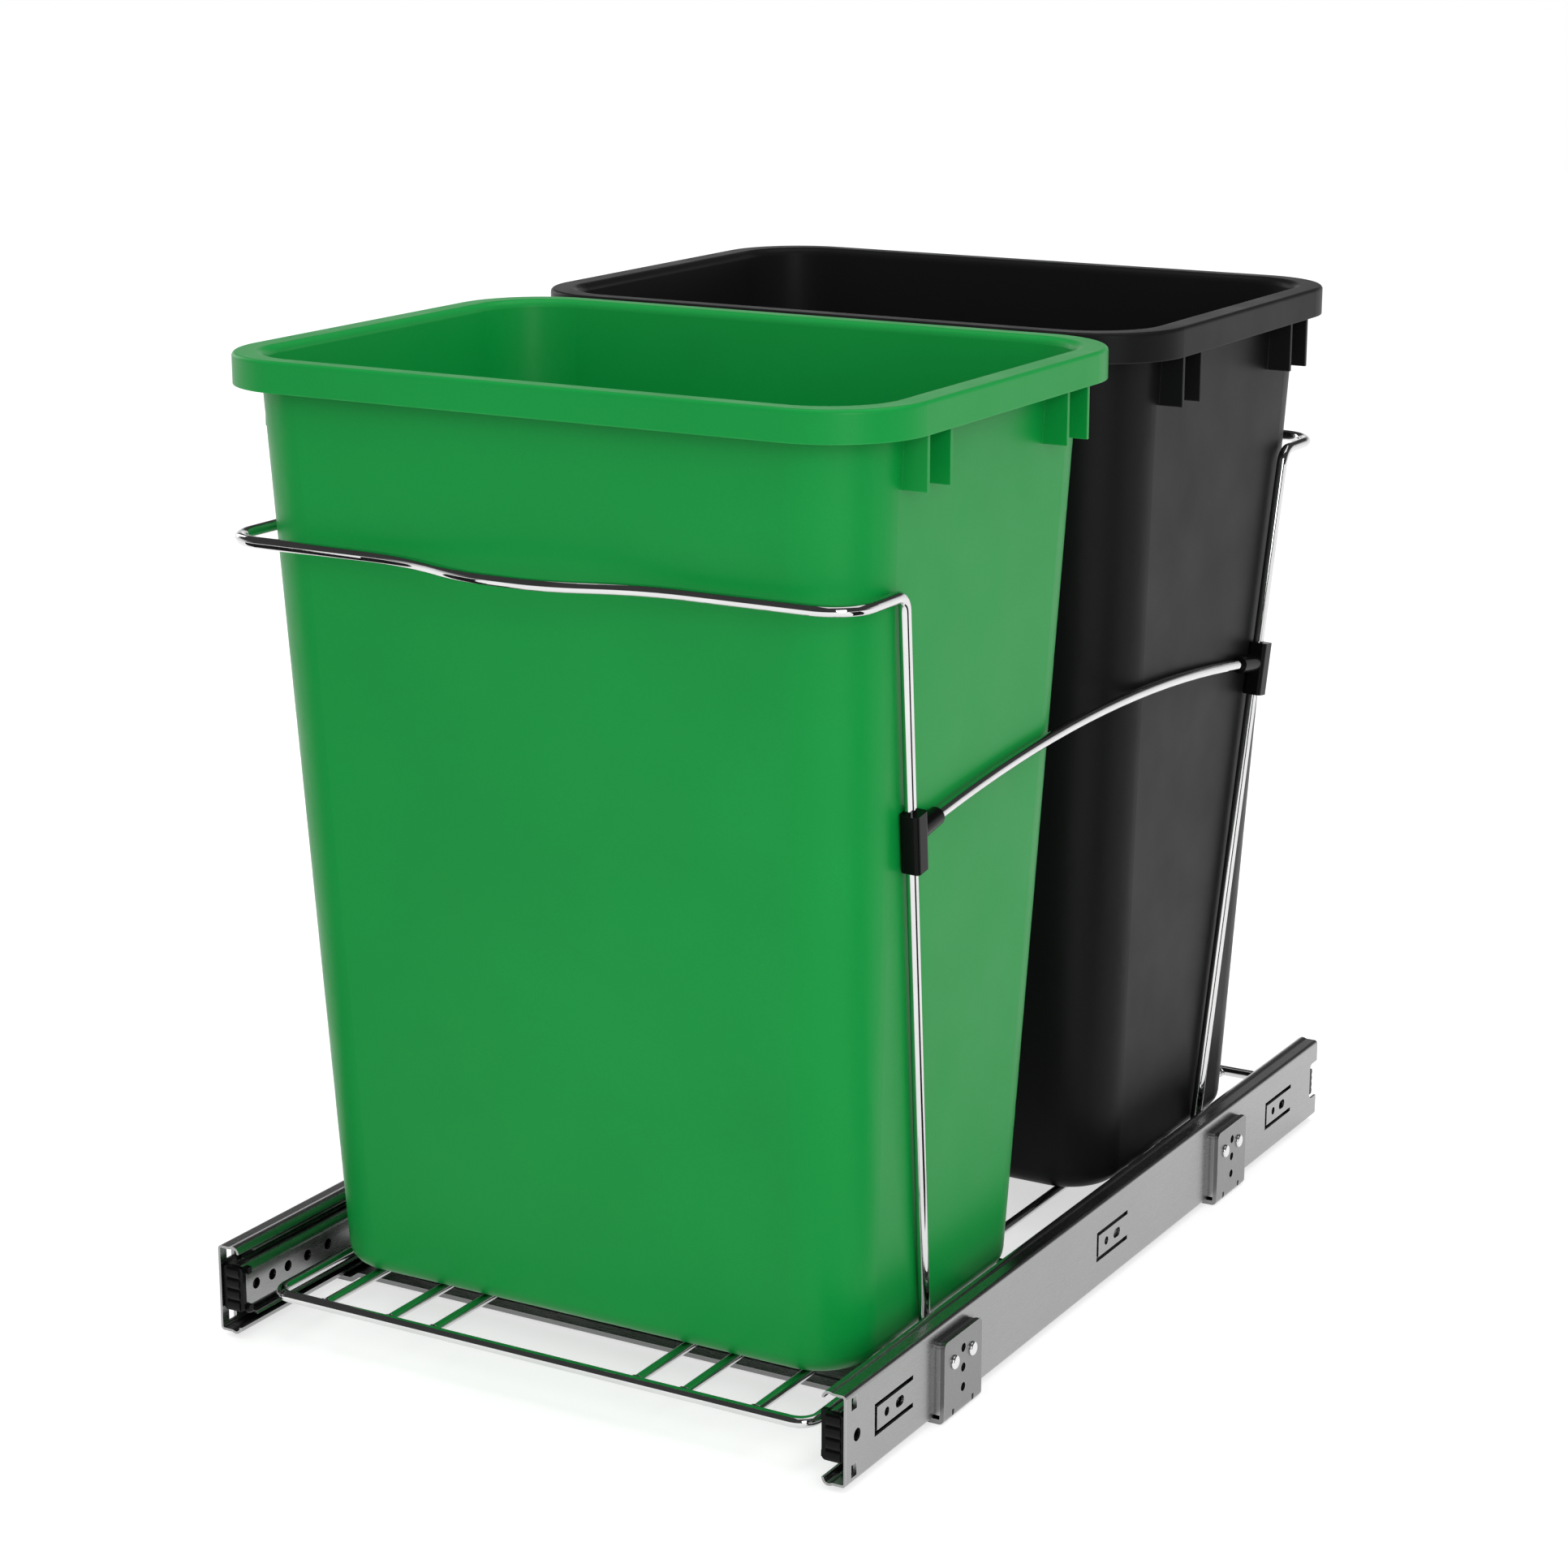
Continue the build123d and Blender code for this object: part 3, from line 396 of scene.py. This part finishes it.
# Floor and cards
FLOOR_SIZE = 12.0
FLOOR_GLOW = 0.6
FLOOR_GREY = 0.58
FLOOR_GREY_SPAN = 0.01
CARD_RADII = (0.32, 3.0)
CARD_HALF_SPREAD = math.radians(12)
CARD_DIRECTIONS = (math.radians(-138), math.radians(-17))
CARD_HEIGHT = 0.002
CARD_DARKEST = 0.01
CARD_LIGHTEST = 0.02


def stage_sheet(name, corners, material):
    """A four-cornered sheet that belongs to the studio and not to the object."""
    mesh = bpy.data.meshes.new(name)
    mesh.from_pydata(corners, [], [(0, 1, 2, 3)])
    mesh.materials.append(material)
    sheet = bpy.data.objects.new(name, mesh)
    bpy.context.scene.collection.objects.link(sheet)
    return sheet


def make_floor():
    """A pale floor that keeps the shadow and glows enough to show white."""
    n = material_nodes("pale_floor")
    diffuse = n.add("ShaderNodeBsdfDiffuse")
    glow = n.add("ShaderNodeEmission")
    both = n.add("ShaderNodeAddShader")
    darkest = FLOOR_GREY - FLOOR_GREY_SPAN
    lightest = FLOOR_GREY + FLOOR_GREY_SPAN
    pale = n.remap(n.noise(n.place(), scale=3.0), low=darkest, high=lightest)
    n.link(pale, diffuse.inputs["Color"])
    n.link(n.maths("MULTIPLY", n.seen_or_mirrored(), FLOOR_GLOW), glow.inputs["Strength"])
    n.link(diffuse.outputs[0], both.inputs[0])
    n.link(glow.outputs[0], both.inputs[1])
    half = FLOOR_SIZE / 2
    corners = [(-half, -half, 0), (half, -half, 0), (half, half, 0), (-half, half, 0)]
    stage_sheet("floor", corners, n.finish(both))


def make_flags():
    """Black cards flat on the studio floor, seen only in reflections, which line the bright wires."""
    n = material_nodes("black_card")
    cloth = n.add("ShaderNodeBsdfDiffuse")
    dark = n.remap(n.noise(n.place(), scale=30.0), low=CARD_DARKEST, high=CARD_LIGHTEST)
    n.link(dark, cloth.inputs["Color"])
    black = n.finish(cloth)
    near, far = CARD_RADII
    for number, direction in enumerate(CARD_DIRECTIONS, start=1):
        corners = []
        for reach, way in ((near, -1), (far, -1), (far, 1), (near, 1)):
            angle = direction + way * CARD_HALF_SPREAD
            corners.append((reach * math.cos(angle), reach * math.sin(angle), CARD_HEIGHT))
        card = stage_sheet(f"flag_{number}", corners, black)
        card.visible_camera = False
        card.visible_diffuse = False
        card.visible_transmission = False
        card.visible_shadow = False


# Surroundings: the spans over which the mirrored white fades, and how bright the rest is
AMBIENT = 0.85
ROOM_DARK = 0.05
TOWARDS_CAMERA = (0.5, -0.866, 0.0)
FRONT_FADE = (-0.35, 0.35)
HEIGHT_FADE = (0.08, 0.38)


def make_world():
    """White all round for the camera. Metal sees it behind the object, and a dim room above and in front."""
    world = bpy.data.worlds.new("studio")
    bpy.context.scene.world = world
    n = Nodes(world, "ShaderNodeOutputWorld")

    def fade(value, start, end):
        return n.remap(value, low=1, high=0, from_low=start, from_high=end, shape="SMOOTHSTEP")

    direction = n.add("ShaderNodeTexCoord").outputs["Generated"]
    facing = n.add("ShaderNodeVectorMath", operation="DOT_PRODUCT")
    n.link(direction, facing.inputs[0])
    facing.inputs[1].default_value = TOWARDS_CAMERA
    height = n.add("ShaderNodeSeparateXYZ")
    n.link(direction, height.inputs[0])
    behind = fade(facing.outputs["Value"], *FRONT_FADE)
    low = fade(height.outputs["Z"], *HEIGHT_FADE)
    mirrored = n.maths("MAXIMUM", n.maths("MULTIPLY", behind, low), ROOM_DARK)
    ambient = n.add("ShaderNodeBackground", Color=grey(1.0), Strength=AMBIENT)
    visible = n.add("ShaderNodeBackground", Color=grey(1.0))
    n.link(n.maths("MAXIMUM", n.seen(), mirrored), visible.inputs["Strength"])
    chosen = n.add("ShaderNodeMixShader")
    n.link(n.seen_or_mirrored(), chosen.inputs[0])
    n.link(ambient.outputs[0], chosen.inputs[1])
    n.link(visible.outputs[0], chosen.inputs[2])
    n.finish(chosen)


# Lamps: name, place, width and height in metres, and watts
LAMP_TARGET = (0, 0, 0.25)
SOFTBOXES = (
    ("overhead_softbox", (0.2, 0.2, 2.2), (1.8, 1.8), 10),
    ("key_softbox", (1.9, -1.9, 1.1), (1.0, 1.6), 20),
    ("back_softbox", (-2.4, 0.7, 1.3), (0.8, 1.4), 8),
)


def make_lights():
    for name, place, size, watts in SOFTBOXES:
        data = bpy.data.lights.new(name, "AREA")
        data.shape = "RECTANGLE"
        data.size, data.size_y = size
        data.energy = watts
        lamp = bpy.data.objects.new(name, data)
        lamp.location = place
        direction = Vector(LAMP_TARGET) - Vector(place)
        lamp.rotation_euler = direction.to_track_quat("-Z", "Y").to_euler()
        bpy.context.scene.collection.objects.link(lamp)


make_camera()
dress()
weld_beads()
make_floor()
make_flags()
make_world()
make_lights()
bpy.context.scene.view_settings.view_transform = "Standard"
